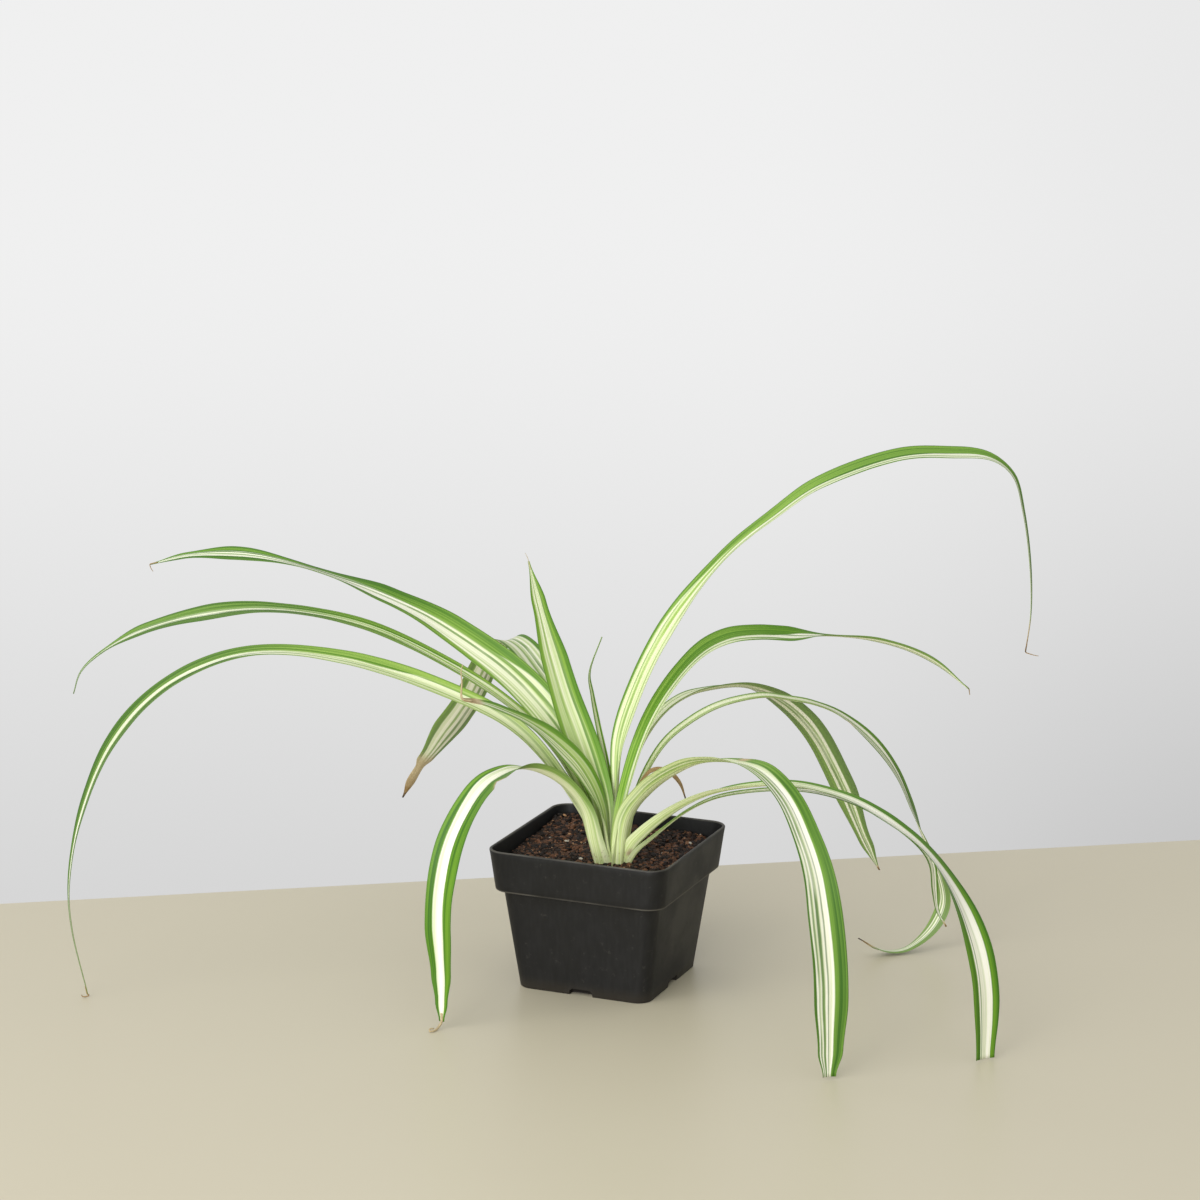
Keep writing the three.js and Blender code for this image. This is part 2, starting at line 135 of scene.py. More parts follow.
# Each leaf: heading in degrees round from +X, foot (out from the crown's axis and sideways to the left), and
# its spine as [out, height, sideways]. widths and roll are tables of [share of the length, value]: the
# blade's width and the degrees by which it is turned about its spine.
LEAVES = {
    "leaf_left_high": {
        "heading": 192, "foot": [3, -2],
        "spine": [[8, 88, -4], [20, 120, -6.3], [39, 148, -6.8], [61, 170, -3.5], [102, 196.3],
            [150, 213.8], [190, 222.5], [225, 221.5], [248, 215.5]],
        "widths": [[0, 7.5], [0.3, 18.5], [0.48, 17], [0.6, 14.5], [0.7, 11], [0.78, 7.5], [0.86, 9.5],
            [0.94, 4.5], [1, 1]],
        "roll": [[0, 0], [0.15, -30], [0.3, -58], [0.42, -52], [0.6, -22], [0.72, 4], [0.84, -34],
            [1, -34]],
    },
    "leaf_left_middle": {
        "heading": 194, "foot": [5, -3],
        "spine": [[11, 84, -4], [28, 121, -3], [51, 146, -2], [86, 169.6], [132, 189.3], [182, 195.8],
            [222, 190.5], [253, 180.5], [275, 167.3], [285, 157], [289, 145.5]],
        "widths": [[0, 5.5], [0.25, 9], [0.5, 9], [0.74, 12.5], [0.85, 8.5], [0.92, 2.8], [1, 1]],
        "roll": [[0, 0], [0.12, -10], [0.5, -22], [0.63, -12], [0.76, -30], [1, -30]],
    },
    "leaf_left_long": {
        "heading": 208, "foot": [5, -1],
        "spine": [[10, 80, -1], [24, 107], [49, 139], [80, 158], [139, 179.3], [188, 183.5], [228, 168],
            [257.3, 138], [275.5, 96], [282, 60], [281, 37], [274, 2]],
        "widths": [[0, 6.5], [0.2, 11], [0.35, 11.5], [0.5, 9], [0.6, 11], [0.68, 13], [0.77, 9.5],
            [0.84, 5], [0.9, 2.5], [1, 1]],
        "roll": [[0, 0], [0.1, -30], [0.3, -35], [0.5, -22], [0.7, -22], [1, -15]],
    },
    "leaf_front_left": {
        "heading": 242, "foot": [7.5, 0],
        "spine": [[14, 80], [20, 100], [36, 117.5], [60, 128.5], [75, 127], [86, 121.7], [97, 110.6],
            [105, 97.6], [111.3, 77], [113.5, 55], [112, 28], [112, 4]],
        "widths": [[0, 11.5], [0.18, 11.5], [0.45, 17.5], [0.6, 17.5], [0.8, 15.5], [0.9, 12], [0.96, 7.5],
            [1, 3]], "roll": [[0, 0], [0.15, 10], [0.35, 17], [0.5, -5], [0.7, -18], [1, -22]],
    },
    "leaf_back_folded": {
        "heading": 148, "foot": [6, -3],
        "spine": [[15, 98, -3], [38, 128, -3], [57, 147, -2], [70, 157, -1], [86, 166], [98, 167],
            [107, 161], [118, 148], [136, 124], [169, 91], [187, 74], [203, 54]],
        "widths": [[0, 7], [0.3, 17], [0.6, 19], [0.75, 19], [0.88, 9.5], [0.91, 5], [0.95, 5.5], [1, 1]],
        "roll": [[0, 0], [0.15, -10], [1, 20]],
    },
    "leaf_front_short": {
        "heading": 226, "foot": [4, 3],
        "spine": [[7, 94, 3], [18, 118, 2], [32, 134.5, 1], [47, 147], [60, 154.5], [72, 160], [83, 163]],
        "widths": [[0, 6], [0.4, 16.5], [0.6, 15], [0.85, 8.5], [0.95, 5], [1, 3]],
        "roll": [[0, 0], [0.15, -30], [0.5, -48], [0.8, -20], [1, -20]],
    },
    "leaf_centre_broad": {
        "heading": 165, "foot": [1.5, 2.5],
        "spine": [[4.5, 95, 2.5], [13, 118, 3], [26, 145, 3], [37, 172, 3], [45.5, 196, 3],
            [53.6, 221.5, 3]], "widths": [[0, 6], [0.44, 18.5], [0.68, 15.5], [0.87, 8.5], [1, 1]],
        "roll": [[0, 0], [0.2, -25], [1, -25]],
    },
    "leaf_centre_young": {
        "heading": 190, "foot": [0, -8],
        "spine": [[2.5, 94, -9], [6.8, 118, -12.5], [11, 137, -13.2], [13, 155, -8], [13, 168, -2],
            [6, 188]], "widths": [[0, 3.6], [0.3, 5.8], [0.6, 4.5], [1, 1]],
        "roll": [[0, 0], [0.3, -30], [1, -10]],
    },
    "leaf_right_tall": {
        "heading": 22, "foot": [1.5, 4],
        "spine": [[2.5, 100, 5.5], [4.2, 130.4, 6], [11, 154.5, 4], [23, 182.7, 2], [38, 207.7],
            [59.3, 233.6], [82, 253], [104, 269], [145, 284.5], [170, 286], [192, 284], [203.5, 275],
            [209.5, 255.5], [214, 226], [215, 202], [213, 182]],
        "widths": [[0, 5.2], [0.07, 6.2], [0.2, 12.5], [0.3, 13], [0.6, 11.5], [0.72, 10.5], [0.785, 5],
            [0.86, 3.6], [1, 1]], "roll": [[0, 0], [0.2, 40], [0.3, 36], [0.42, 12], [0.6, 25], [1, 20]],
    },
    "leaf_right_kinked": {
        "heading": 35, "foot": [0.5, -6],
        "spine": [[3, 92, -6], [9, 118, -5], [20, 145, -2], [35, 167], [49, 180], [62, 185.5], [78, 186.5],
            [99, 184.5], [118, 183.5], [141, 180], [160, 174], [176, 165.5], [193.5, 151]],
        "widths": [[0, 7.5], [0.25, 10], [0.4, 10.5], [0.52, 12.5], [0.62, 12], [0.72, 7.5], [0.88, 6.5],
            [1, 1]], "roll": [[0, 0], [0.2, 20], [0.45, 25], [0.62, 28], [0.71, -12], [0.8, -30], [1, -35]],
    },
    "leaf_back_right": {
        "heading": 60, "foot": [6, 3],
        "spine": [[12, 98, 4], [22, 126, 3], [36, 142, 2], [51, 149, 1], [68, 150.5], [86, 149], [99, 145],
            [114, 137], [132, 122], [145, 106], [157, 86], [167, 67], [177, 48], [189, 28]],
        "widths": [[0, 6], [0.35, 13], [0.5, 14], [0.65, 16], [0.8, 15.5], [0.93, 8.5], [1, 1]],
        "roll": [[0, 0], [0.15, -37], [0.35, -15], [0.48, -17], [0.6, -28], [1, -25]],
    },
    "leaf_right_looped": {
        "heading": 41, "foot": [6, -2],
        "spine": [[11, 94, -2], [19, 115, -1], [30, 130], [44, 140], [57, 146], [70, 149], [85, 150],
            [98, 147.5], [112, 144], [127, 137], [147, 120], [160, 103], [170, 82], [180, 58], [188, 40],
            [190, 26], [183, 12], [169, 2.5], [155, 3], [141, 11]],
        "widths": [[0, 4.5], [0.35, 9.5], [0.6, 9], [0.68, 8], [0.8, 9.5], [0.95, 6.5], [1, 1]],
        "roll": [[0, 0], [0.35, 0], [0.44, 5], [0.56, 40], [0.66, 36], [0.76, -5], [0.85, -30], [0.92, 0],
            [1, 20]],
    },
    "leaf_right_low": {
        "heading": -9, "foot": [8, 0],
        "spine": [[12, 75], [20, 85], [38, 101], [56, 112], [75, 119], [104, 125], [123, 125], [142, 122],
            [165, 113], [183, 102], [198, 85], [209.5, 64], [215.4, 43], [217.4, 20], [217.4, 1]],
        "widths": [[0, 8.5], [0.3, 10], [0.8, 16.5], [0.9, 16], [1, 11]],
        "roll": [[0, 0], [0.08, -25], [0.35, 0], [0.55, -5], [0.66, -15], [0.85, 25], [1, 30]],
    },
    "leaf_right_thin": {
        "heading": -9, "foot": [7, -1],
        "spine": [[14, 74, 1], [24, 84, 2], [40, 98.5, 4], [57, 109, 5], [76, 115.5, 5.5], [104, 121, 6],
            [124, 121.5, 6], [143, 118.5, 6], [161, 112, 6], [178, 102, 5], [183, 95, 5], [185, 81, 5],
            [187, 71, 5], [192, 64, 5]], "widths": [[0, 4], [0.3, 5], [0.9, 5], [1, 1]],
        "roll": [[0, 0], [0.3, 10], [1, 15]],
    },
    "leaf_front_right": {
        "heading": -30, "foot": [8, -1],
        "spine": [[13, 93, -1], [26, 110], [46, 124.5], [71, 137], [99, 143.5], [120, 143.5], [140, 134],
            [154, 118], [163, 102], [170, 78], [173.5, 55], [176, 28, -1], [177, 1.5, -2]],
        "widths": [[0, 8.5], [0.3, 13], [0.5, 14.5], [0.62, 14.5], [0.76, 18], [0.88, 17.5], [0.96, 13.5],
            [1, 7]], "roll": [[0, 0], [0.12, -22], [0.3, -16], [0.38, -12], [0.5, 2], [0.7, 20], [1, 20]],
    },
    "leaf_dried": {
        "heading": 18, "foot": [7, -2],
        "spine": [[11, 98, -3.3], [15, 111, -5], [21, 119, -6], [28, 119, -5], [35, 113, -5],
            [39, 103, -5]], "widths": [[0, 2], [0.5, 4.8], [0.85, 4], [1, 1]], "roll": [[0, 0], [1, 20]],
    },
}

# How each leaf looks. Across a blade, u runs from -1 at its right edge to 1 at its left one. stripe is the
# cream stripe as [share, from u, to u], deep how dull its green is and lines the u of three green lines in
# the stripe. lime is how pale and yellow the blade is and dry how withered (1 tan, 1.5 brown, 2 nearly
# black), both as [share, value]. hair is the withered thread that the tip ends in, as further spine stops,
# hair_radius its radius at start and end, and hair_dry how withered it is. A nick is a bite out of an edge
# and a scar a brown patch: [share, u, length in mm, depth as a share of the half width, or dryness].
LIME = [[0, 1], [0.15, 0.9], [0.4, 0.35], [0.6, 0.05]]
NO_LINE = 3
LOOKS = {
    "leaf_left_high": {
        "stripe": [[0, -0.85, 0.9], [0.2, -0.8, 0.9], [0.32, -0.66, 0.85], [0.44, -0.2, 0.7],
            [0.55, -0.2, 0.6], [0.7, -0.45, 0.45], [0.85, -0.4, 0.3], [1, -0.5, 0.4]], "deep": 0.35,
        "lines": [-0.3, 0.02, 0.75], "lime": [[0, 1], [0.2, 0.85], [0.45, 0.5], [0.62, 0]],
        "hair": [[248.2, 215], [247.8, 213.6], [246.6, 211.6]], "hair_radius": [0.35, 0.15],
    },
    "leaf_left_middle": {
        "stripe": [[0, -0.85, 0.85], [0.28, -0.65, 0.6], [0.42, -0.4, 0.3], [0.55, -0.32, 0.02],
            [0.75, -0.25, 0.2], [1, -0.3, 0.3]], "deep": 0.8, "lines": [-0.2, 0.12, NO_LINE],
        "lime": [[0, 1], [0.25, 0.85], [0.5, 0.4], [0.65, 0]],
    },
    "leaf_left_long": {
        "stripe": [[0, -0.9, 1.1], [0.2, -0.85, 0.95], [0.3, -0.5, 0.95], [0.38, -0.1, 0.9],
            [0.48, 0, 0.8], [0.55, -0.1, 0.4], [0.62, -0.25, 0.12], [1, -0.25, 0.15]], "deep": 0.8,
        "lines": [-0.5, 0.4, NO_LINE], "lime": [[0, 1], [0.25, 0.9], [0.42, 0.6], [0.56, 0]],
        "hair": [[273.2, 1.2], [274.5, 0.6], [276.5, 0.7], [277, 1.6]], "hair_radius": [0.4, 0.25],
    },
    "leaf_front_left": {
        "stripe": [[0, -1.1, 0.8], [0.3, -0.9, 0.5], [0.45, -0.65, 0.1], [0.6, -0.5, 0.12],
            [0.85, -0.45, 0.3], [1, -0.5, 0.45]], "lines": [NO_LINE, 0.6, NO_LINE],
        "lime": [[0, 1], [0.3, 0.8], [0.45, 0.15], [0.6, 0]],
        "hair": [[113.5, 2], [115.4, 1.2, 0.8], [118, 0.7, 1.4], [120.4, 0.8, 1], [120, 1.7, 0.4],
            [117.6, 1.6, 0.6]], "hair_radius": [0.8, 0.35], "hair_dry": 1.05, "nicks": [[0.465, 1, 9, 0.3]],
    },
    "leaf_back_folded": {
        "stripe": [[0, -0.9, 0.9], [0.4, -0.75, 0.75], [0.6, -0.66, 0.62], [1, -0.66, 0.62]],
        "lines": [-0.3, 0.12, NO_LINE], "lime": [[0, 0.9], [0.45, 0.4], [0.58, 0]],
        "dry": [[0.84, 0], [0.9, 0.9], [0.96, 1.2], [1, 1.9]],
    },
    "leaf_front_short": {
        "stripe": [[0, -0.75, 0.85], [0.4, -0.6, 0.7], [0.8, -0.35, 0.4], [1, -0.4, 0.4]],
        "lines": [-0.2, 0.3, NO_LINE], "lime": [[0, 1], [0.3, 0.9], [0.7, 0.6], [0.9, 0.4]],
        "dry": [[0.9, 0], [0.96, 1.2], [1, 1.6]],
        "hair": [[84.2, 164.3], [84.4, 167.6], [84.1, 172.3], [84.5, 178.1], [83.6, 181.7]],
        "hair_radius": [0.8, 0.2], "hair_dry": 1.05,
    },
    "leaf_centre_broad": {
        "stripe": [[0, -0.75, 0.9], [0.4, -0.5, 0.66], [0.8, -0.4, 0.6], [1, -0.5, 0.6]],
        "lines": [-0.45, 0.25, NO_LINE], "lime": [[0, 1], [0.3, 0.85], [0.6, 0.6], [0.9, 0.4]],
        "hair": [[54.6, 223.8, 3], [56, 225.6, 3]], "hair_radius": [0.22, 0.1], "hair_dry": 1.05,
    },
    "leaf_centre_young": {
        "stripe": [[0, -0.5, 0.5], [0.5, -0.4, 0.4], [1, -0.3, 0.3]], "lines": [-0.6, 0.6, 0.1],
        "lime": [[0, 0.9], [0.4, 0.5], [1, 0.3]],
    },
    "leaf_right_tall": {
        "stripe": [[0, -1, 0.8], [0.3, -0.95, 0.7], [0.4, -0.95, 0.4], [0.5, -1, -0.1],
            [0.62, -0.75, -0.25], [0.76, -0.9, 0], [1, -0.9, 0.2]], "deep": 0.4, "lines": [0.22, -0.5, 0.5],
        "lime": [[0, 1], [0.3, 0.8], [0.5, 0.5], [0.62, 0.1]], "dry": [[0.95, 0], [0.98, 1.1], [1, 2]],
        "hair": [[214.7, 181.2], [217.4, 180.4], [219.6, 180]], "hair_radius": [0.35, 0.15],
    },
    "leaf_right_kinked": {
        "stripe": [[0, -1.2, 0.3], [0.25, -1.2, -0.1], [0.45, -1, -0.35], [0.58, -0.75, -0.2],
            [0.68, -0.5, 0.4], [1, -0.5, 0.5]], "lines": [-0.6, 0, NO_LINE],
        "lime": [[0, 1], [0.25, 0.8], [0.5, 0.45], [0.62, 0]], "hair": [[193.9, 149], [194.2, 147.6]],
        "hair_radius": [0.4, 0.15],
    },
    "leaf_back_right": {
        "stripe": [[0, -1, 1], [0.4, -0.8, 0.8], [0.52, -0.5, 0.45], [0.75, -0.48, 0.35], [1, -0.5, 0.4]],
        "deep": 0.3, "lines": [0.02, -0.2, 0.6], "lime": [[0, 0.95], [0.3, 0.7], [0.48, 0.35], [0.56, 0]],
        "dry": [[0.985, 0], [0.995, 1.4], [1, 1.7]],
    },
    "leaf_right_looped": {
        "stripe": [[0, -0.8, 0.7], [0.4, -0.75, 0.75], [0.55, -0.75, 0.55], [0.7, -0.85, 0.2],
            [0.8, -0.4, 0.4], [1, -0.5, 0.5]], "deep": 0.5, "lines": [0.1, -0.3, NO_LINE],
        "lime": [[0, 1], [0.4, 0.6], [0.5, 0.1]], "dry": [[0.965, 0], [0.98, 1.2], [1, 2]],
        "nicks": [[0.5, -1, 8, 0.35]],
    },
    "leaf_right_low": {
        "stripe": [[0, -1.2, 0.6], [0.35, -1.2, 0.65], [0.5, -0.6, 0.55], [0.75, -0.5, 0.5],
            [1, -0.5, 0.5]], "lines": [NO_LINE, NO_LINE, -0.36],
        "lime": [[0, 1], [0.3, 0.9], [0.45, 0.3], [0.55, 0]],
        "scars": [[0.035, 0.3, 3, 1.3], [0.05, -0.3, 2, 1.2]],
    },
    "leaf_right_thin": {
        "stripe": [[0, -0.6, 0.6], [1, -0.55, 0.55]], "deep": 0.6, "lines": [NO_LINE, 0.1, NO_LINE],
        "lime": [[0, 1], [0.4, 0.4], [0.55, 0]], "dry": [[0.985, 0], [0.995, 1.3], [1, 1.6]],
    },
    "leaf_front_right": {
        "stripe": [[0, -1.2, 0.9], [0.36, -1, 0.8], [0.46, -0.85, 0.35], [0.75, -0.86, 0.24],
            [1, -0.84, 0.2]], "deep": 0.5, "lines": [-0.4, -0.68, -0.12],
        "lime": [[0, 1], [0.3, 0.95], [0.46, 0.6], [0.55, 0]], "nicks": [[0.43, 1, 7, 0.25]],
        "scars": [[0.43, 0.8, 4, 1.2]],
    },
    "leaf_dried": {
        "stripe": [[0, -0.5, 0.5], [1, -0.5, 0.5]], "lines": [NO_LINE] * 3,
        "dry": [[0, 0], [0.3, 0.4], [0.55, 1.4], [0.92, 1.35], [1, 2]],
    },
}


def srgb(red, green, blue):
    """A colour given as on a screen, 0 to 255, as linear RGBA."""
    def linear(value):
        share = value / 255
        return share / 12.92 if share <= 0.04045 else ((share + 0.055) / 1.055) ** 2.4
    return (linear(red), linear(green), linear(blue), 1.0)


class Graph:
    """The shader nodes of one material, or of another node tree, made by short calls."""

    def __init__(self, name, tree=None):
        if tree:
            self.tree = tree
            return
        self.material = bpy.data.materials.new(name)
        self.material.use_nodes = True
        self.tree = self.material.node_tree
        self.shader = self.tree.nodes["Principled BSDF"]

    def put(self, socket, value):
        if isinstance(value, bpy.types.NodeSocket):
            self.tree.links.new(value, socket)
        else:
            socket.default_value = value

    def math(self, operation, first, second=0.0):
        node = self.tree.nodes.new("ShaderNodeMath")
        node.operation = operation
        for socket, value in zip(node.inputs, (first, second)):
            self.put(socket, value)
        return node.outputs[0]

    def plus(self, first, second):
        return self.math("ADD", first, second)

    def minus(self, first, second):
        return self.math("SUBTRACT", first, second)

    def times(self, first, second):
        return self.math("MULTIPLY", first, second)

    def larger(self, first, second):
        return self.math("MAXIMUM", first, second)

    def step(self, value, low, high, start=0.0, end=1.0):
        """A smooth step from start at low to end at high."""
        node = self.tree.nodes.new("ShaderNodeMapRange")
        node.interpolation_type = "SMOOTHSTEP"
        for socket, given in zip(node.inputs, (value, low, high, start, end)):
            self.put(socket, given)
        return node.outputs[0]

    def mix(self, share, first, second):
        node = self.tree.nodes.new("ShaderNodeMix")
        node.data_type = "RGBA"
        self.put(node.inputs[0], share)
        self.put(node.inputs[6], first)
        self.put(node.inputs[7], second)
        return node.outputs[2]

    def vector(self, x, y, z):
        node = self.tree.nodes.new("ShaderNodeCombineXYZ")
        for socket, value in zip(node.inputs, (x, y, z)):
            self.put(socket, value)
        return node.outputs[0]

    def attribute(self, name):
        """The three numbers of a vector attribute of the mesh."""
        node = self.tree.nodes.new("ShaderNodeAttribute")
        node.attribute_name = name
        return self.parts(node.outputs["Vector"])

    def place(self):
        """The point's own place on the object."""
        return self.tree.nodes.new("ShaderNodeTexCoord").outputs["Object"]

    def parts(self, vector):
        node = self.tree.nodes.new("ShaderNodeSeparateXYZ")
        self.put(node.inputs[0], vector)
        return node.outputs

    def noise(self, vector, scale, detail=2.0, roughness=0.5):
        node = self.tree.nodes.new("ShaderNodeTexNoise")
        self.put(node.inputs["Vector"], vector)
        for name, value in (("Scale", scale), ("Detail", detail), ("Roughness", roughness)):
            node.inputs[name].default_value = value
        return node.outputs["Fac"]

    def bump(self, height, strength, distance):
        node = self.tree.nodes.new("ShaderNodeBump")
        node.inputs["Strength"].default_value = strength
        node.inputs["Distance"].default_value = distance
        self.put(node.inputs["Height"], height)
        self.put(self.shader.inputs["Normal"], node.outputs["Normal"])

    def finish(self, color, roughness, **fixed):
        self.put(self.shader.inputs["Base Color"], color)
        self.put(self.shader.inputs["Roughness"], roughness)
        for name, value in fixed.items():
            self.shader.inputs[name.replace("_", " ")].default_value = value
        return self.material


def leaf_material():
    """Green margins round a cream stripe with fine lengthwise lines, yellower and paler towards the foot, a
    little paler below, tan to brown where the blade has dried. The mesh brings its own numbers: blade is
    across (-1 to 1), the way from the foot in decimetres and 1 on the upper face; stripe is the stripe's two
    edges and how lime the blade is; lines is three green lines' places; look is how dry the blade is, a seed
    and how dull its green is."""
    g = Graph("leaf_blade")
    across, reach, upper = g.attribute("blade")
    low, high, lime = g.attribute("stripe")
    places = g.attribute("lines")
    dry, seed, deep = g.attribute("look")

    drift = g.noise(g.vector(g.times(across, 0.6), reach, seed), 2.6, 2.0)
    streaks = g.noise(g.vector(g.times(across, 2.8), g.times(reach, 0.3), seed), 1.6, 2.0)
    fine = g.noise(g.vector(g.times(across, 6.0), g.times(reach, 0.45), seed), 1.5, 2.0)
    sway = g.times(g.minus(drift, 0.5), 0.16)
    sway = g.plus(sway, g.times(g.minus(streaks, 0.5), 0.12))
    wandering = g.plus(across, sway)

    soft = g.times(lime, 0.12)
    outer = g.plus(soft, 0.05)
    left = g.step(g.minus(wandering, high), -0.04, outer)
    right = g.step(g.minus(low, wandering), -0.04, outer)
    green = g.larger(left, right)
    for place, width, share in zip(places, (0.15, 0.11, 0.07), (0.9, 0.8, 0.7)):
        away = g.math("ABSOLUTE", g.minus(wandering, place))
        line = g.step(away, width * 0.4, width, share, 0.0)
        line = g.times(line, g.step(drift, 0.36, 0.52, 0.65, 1.0))
        green = g.larger(green, line)
    veins = g.larger(g.step(streaks, 0.52, 0.64, 0.0, 0.42), g.step(fine, 0.55, 0.68, 0.0, 0.34))
    veins = g.times(veins, g.step(lime, 0.0, 0.5, 0.45, 1.0))
    green = g.larger(green, veins)

    tone = g.plus(g.times(streaks, 0.55), g.times(fine, 0.45))
    cream = g.mix(g.step(tone, 0.4, 0.62), srgb(238, 237, 223), srgb(222, 226, 196))
    fresh = g.mix(g.step(tone, 0.38, 0.6), srgb(48, 98, 8), srgb(98, 142, 32))
    dull = g.mix(g.step(tone, 0.38, 0.6), srgb(52, 92, 20), srgb(108, 142, 62))
    leafy = g.mix(deep, fresh, dull)
    pale_cream = g.mix(g.step(tone, 0.38, 0.62), srgb(226, 233, 190), srgb(190, 208, 132))
    pale_leafy = g.mix(g.step(tone, 0.38, 0.62), srgb(104, 150, 42), srgb(162, 194, 90))
    stripe_color = g.mix(lime, cream, pale_cream)
    margin_color = g.mix(g.times(lime, 0.85), leafy, pale_leafy)
    color = g.mix(green, stripe_color, margin_color)
    # Painted shade: a darker green along both edges of the blade
    rim = g.times(g.step(g.math("ABSOLUTE", across), 0.88, 0.99), 0.4)
    color = g.mix(rim, color, srgb(66, 104, 26))

    foot = g.step(reach, 0.05, 0.5, 0.8, 0.0)
    color = g.mix(foot, color, g.mix(g.step(tone, 0.4, 0.6), srgb(244, 248, 204), srgb(208, 228, 136)))
    speckle = g.noise(g.place(), 900.0, 2.0)
    spots = g.times(g.step(speckle, 0.62, 0.7), g.step(reach, 0.08, 0.26, 0.55, 0.0))
    color = g.mix(spots, color, srgb(132, 92, 58))

    below = g.minus(1.0, upper)
    color = g.mix(g.times(below, 0.15), color, srgb(218, 230, 168))

    tan = g.mix(speckle, srgb(160, 142, 106), srgb(200, 184, 148))
    brown = g.mix(speckle, srgb(112, 88, 52), srgb(170, 142, 96))
    color = g.mix(g.step(dry, 0.0, 1.0), color, tan)
    color = g.mix(g.step(dry, 1.0, 1.4), color, brown)
    color = g.mix(g.step(dry, 1.5, 2.0), color, srgb(46, 33, 26))

    g.bump(g.plus(fine, streaks), 0.4, 0.06 * MM)
    roughness = g.plus(g.step(fine, 0.3, 0.7, 0.42, 0.56), g.times(g.step(dry, 0, 1), 0.3))
    return g.finish(color, roughness, Specular_IOR_Level=0.35)


def pot_material():
    """Thin black moulded plastic: faint upright marks and light scuffs, with painted highlights as paler
    lines on the rim's top and the band's foot.
    """
    g = Graph("black_plastic")
    place = g.place()
    x, y, z = g.parts(place)
    marks = g.noise(g.vector(g.times(x, 5.0), g.times(y, 5.0), z), 90.0, 3.0)
    cloud = g.noise(place, 38.0, 4.0)
    grain = g.noise(place, 1400.0, 2.0)
    scuffs = g.step(g.noise(place, 240.0, 4.0, 0.7), 0.6, 0.74)
    color = g.mix(g.step(marks, 0.35, 0.7), srgb(14, 14, 15), srgb(21, 21, 22))
    # Painted highlight: a paler line along the rim's top edge and along the band's foot, where light catches
    # these edges
    rim = g.step(z, POT_HEIGHT - 0.9 * MM, POT_HEIGHT - 0.2 * MM)
    band_foot_highlight = g.step(g.math("ABSOLUTE", g.minus(z, BAND_FOOT + 0.3 * MM)), 0.2 * MM, 0.9 * MM, 1.0, 0.0)
    highlight_and_scuffs = g.larger(g.times(rim, 0.45), g.times(band_foot_highlight, 0.4))
    highlight_and_scuffs = g.times(highlight_and_scuffs, g.step(cloud, 0.35, 0.6, 0.35, 1.0))
    # Real scuffs add a little of the same paler colour elsewhere
    highlight_and_scuffs = g.larger(highlight_and_scuffs, g.times(scuffs, 0.1))
    color = g.mix(highlight_and_scuffs, color, srgb(118, 114, 106))
    dust = g.step(z, 0.0, 9 * MM, 0.22, 0.0)
    color = g.mix(dust, color, srgb(80, 72, 60))
    g.bump(g.plus(g.times(cloud, 3.0), g.times(grain, 0.25)), 0.25, 0.12 * MM)
    return g.finish(color, g.step(cloud, 0.3, 0.7, 0.46, 0.6), Specular_IOR_Level=0.32)


def earth_material(name, dark, light, scale):
    """Dark, rough, crumbly matter: every loose piece has a tone of its own, which its mesh brings."""
    g = Graph(name)
    place = g.place()
    own, _, _ = g.attribute("tone")
    patch = g.noise(place, scale, 3.0, 0.65)
    fine = g.noise(place, scale * 7, 3.0, 0.7)
    share = g.plus(g.times(own, 0.8), g.times(patch, 0.4))
    color = g.mix(g.step(share, 0.2, 1.05), dark, light)
    color = g.mix(g.step(fine, 0.45, 0.75, 0.0, 0.5), color, dark)
    g.bump(g.plus(patch, fine), 0.8, 0.35 * MM)
    return g.finish(color, g.step(fine, 0.3, 0.7, 0.55, 0.85), Specular_IOR_Level=0.35)


def crown_material():
    """Cream to pale green, waxy, with brown spots low down."""
    g = Graph("crown_stem")
    place = g.place()
    x, y, z = g.parts(place)
    stretched = g.vector(g.times(x, 4.0), g.times(y, 4.0), g.times(z, 0.4))
    ribs = g.noise(stretched, 140.0)
    spots = g.step(g.noise(place, 420.0, 3.0), 0.6, 0.72)
    color = g.mix(ribs, srgb(214, 222, 168), srgb(180, 196, 120))
    color = g.mix(g.times(spots, 0.7), color, srgb(134, 92, 58))
    g.bump(ribs, 0.3, 0.3 * MM)
    roughness = g.step(ribs, 0.3, 0.7, 0.4, 0.6)
    return g.finish(color, roughness, Subsurface_Weight=0.2, Subsurface_Scale=1.5 * MM)


def table_material():
    """Plain beige, faintly glossy."""
    g = Graph("table_top")
    soft = g.noise(g.place(), 3.0, 2.0)
    color = g.mix(soft, srgb(196, 188, 164), srgb(200, 193, 171))
    return g.finish(color, g.step(soft, 0.3, 0.7, 0.36, 0.42))


def object_from(name, points, faces, material, smooth=True):
    """A mesh object of these points and faces, in the scene."""
    data = bpy.data.meshes.new(name)
    data.from_pydata([tuple(p) for p in points], [], faces)
    data.validate()
    data.materials.append(material)
    if smooth:
        data.shade_smooth()
    made = bpy.data.objects.new(name, data)
    bpy.context.scene.collection.objects.link(made)
    return made


def set_vectors(made, name, rows):
    attribute = made.data.attributes.new(name, "FLOAT_VECTOR", "POINT")
    attribute.data.foreach_set("vector", np.array(rows, np.float32).ravel())


def smooth_share(value):
    value = min(max(value, 0.0), 1.0)
    return value * value * (3 - 2 * value)


def along(table, share):
    """A value from a list of [share, value], eased between its entries."""
    if share <= table[0][0]:
        return table[0][1]
    for (start, first), (end, second) in zip(table, table[1:]):
        if share <= end:
            return first + (second - first) * smooth_share((share - start) / (end - start))
    return table[-1][1]


